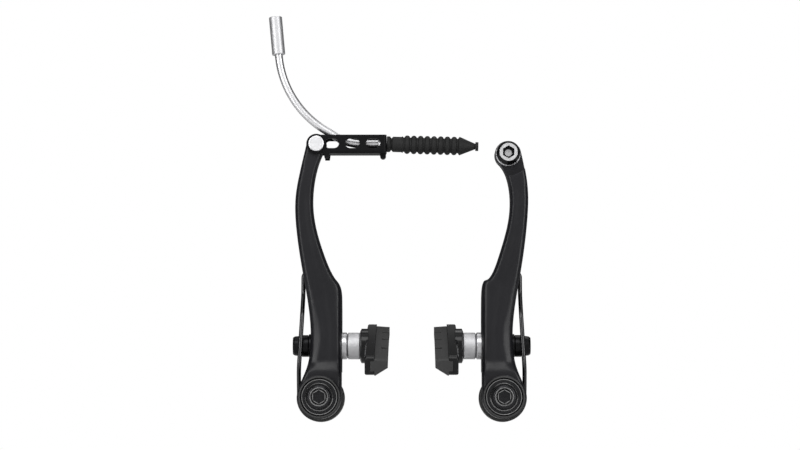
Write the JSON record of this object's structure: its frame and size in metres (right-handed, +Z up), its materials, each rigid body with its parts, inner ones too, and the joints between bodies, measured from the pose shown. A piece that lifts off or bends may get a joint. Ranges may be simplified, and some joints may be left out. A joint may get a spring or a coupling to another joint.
{
  "type": "v brake",
  "caption": "Linear-pull bicycle rim brake: curved black arms on pivot bushes, with cartridge shoes, a windowed link, bent cable pipe, bellows boot and cable clamp bolt.",
  "frame": {"origin": "midway between the two pivot axes, in the plane that the brake cable runs in", "axes": "+X across the wheel to the right arm, +Y towards the bicycle's frame along the pivots, +Z up"},
  "size_m": [0.1155, 0.0692, 0.1794],
  "materials": {
    "arm_black": "satin black anodised",
    "holder_black": "satin black",
    "link_black": "satin black coating",
    "bolt_black": "black oxide",
    "steel": "satin zinc plate",
    "spring_steel": "dark drawn wire",
    "pipe_steel": "polished",
    "ferrule_alloy": "satin",
    "housing_plastic": "fine grain",
    "liner_plastic": "smooth",
    "pad_rubber": "dull, moulded",
    "boot_rubber": "matte, moulded"
  },
  "bodies": {
    "boss_fixings": {"left_pivot_bush": "steel", "left_fixing_bolt": "bolt_black", "left_bolt_washer": "bolt_black", "left_spring_housing": "housing_plastic", "left_stop_pin": "steel", "left_tension_screw": "steel", "right_pivot_bush": "steel", "right_fixing_bolt": "bolt_black", "right_bolt_washer": "bolt_black", "right_spring_housing": "housing_plastic", "right_stop_pin": "steel", "right_tension_screw": "steel"},
    "left_lever": {"left_arm": "arm_black", "left_return_spring": "spring_steel"},
    "left_domes": {"left_inner_dome_washer": "steel", "left_outer_dome_washer": "bolt_black"},
    "left_cups": {"left_cup_spacer": "steel", "left_outer_cup_washer": "bolt_black", "left_shoe_nut": "bolt_black"},
    "left_shoe": {"left_shoe_holder": "holder_black", "left_shoe_pad": "pad_rubber", "left_shoe_stud": "steel", "left_pad_pin": "steel"},
    "right_lever": {"right_arm": "arm_black", "right_return_spring": "spring_steel", "cable_bolt": "bolt_black", "cable_washer": "steel"},
    "right_domes": {"right_inner_dome_washer": "steel", "right_outer_dome_washer": "bolt_black"},
    "right_cups": {"right_cup_spacer": "steel", "right_outer_cup_washer": "bolt_black", "right_shoe_nut": "bolt_black"},
    "right_shoe": {"right_shoe_holder": "holder_black", "right_shoe_pad": "pad_rubber", "right_shoe_stud": "steel", "right_pad_pin": "steel"},
    "link_set": {"link": "link_black", "link_pin": "steel", "boot": "boot_rubber"},
    "noodle": {"noodle_tube": "pipe_steel", "noodle_ferrule": "ferrule_alloy", "noodle_tip": "steel", "noodle_liner": "liner_plastic"}
  },
  "joints": [
    {"name": "left_arm_turn", "type": "hinge", "parent": "boss_fixings", "child": "left_lever", "pos_m": [-0.04, 0, 0], "axis": [0, 1, 0], "range_deg": [-25, 1.8], "stiffness_Nm_per_rad": 1.5, "deforming": ["left_return_spring"]},
    {"name": "left_shoe_height", "type": "slide", "parent": "left_lever", "child": "left_domes", "axis": [0, 0, 1], "range_m": [-0.006, 0.009]},
    {"name": "left_shoe_toe", "type": "hinge", "parent": "left_domes", "child": "left_cups", "pos_m": [-0.03653, 0.0042, 0.0227], "axis": [0, 0, 1], "range_deg": [-2, 2]},
    {"name": "left_shoe_turn", "type": "hinge", "parent": "left_cups", "child": "left_shoe", "pos_m": [-0.03, 0.0042, 0.0227], "axis": [1, 0, 0], "range_deg": [-20, 20]},
    {"name": "right_arm_turn", "type": "hinge", "parent": "boss_fixings", "child": "right_lever", "pos_m": [0.04, 0, 0], "axis": [0, -1, 0], "range_deg": [-25, 1.8], "stiffness_Nm_per_rad": 1.5, "deforming": ["right_return_spring"]},
    {"name": "right_shoe_height", "type": "slide", "parent": "right_lever", "child": "right_domes", "axis": [0, 0, 1], "range_m": [-0.006, 0.009]},
    {"name": "right_shoe_toe", "type": "hinge", "parent": "right_domes", "child": "right_cups", "pos_m": [0.03653, 0.0042, 0.0227], "axis": [0, 0, -1], "range_deg": [-2, 2]},
    {"name": "right_shoe_turn", "type": "hinge", "parent": "right_cups", "child": "right_shoe", "pos_m": [0.03, 0.0042, 0.0227], "axis": [1, 0, 0], "range_deg": [-20, 20]},
    {"name": "link_turn", "type": "hinge", "parent": "left_lever", "child": "link_set", "pos_m": [-0.0419, 0, 0.1112], "axis": [0, -1, 0], "range_deg": [0, 60]},
    {"name": "noodle_swivel", "type": "hinge", "parent": "link_set", "child": "noodle", "pos_m": [-0.011, 0, 0.1116], "axis": [1, 0, 0], "range_deg": [-16, 16]}
  ]
}
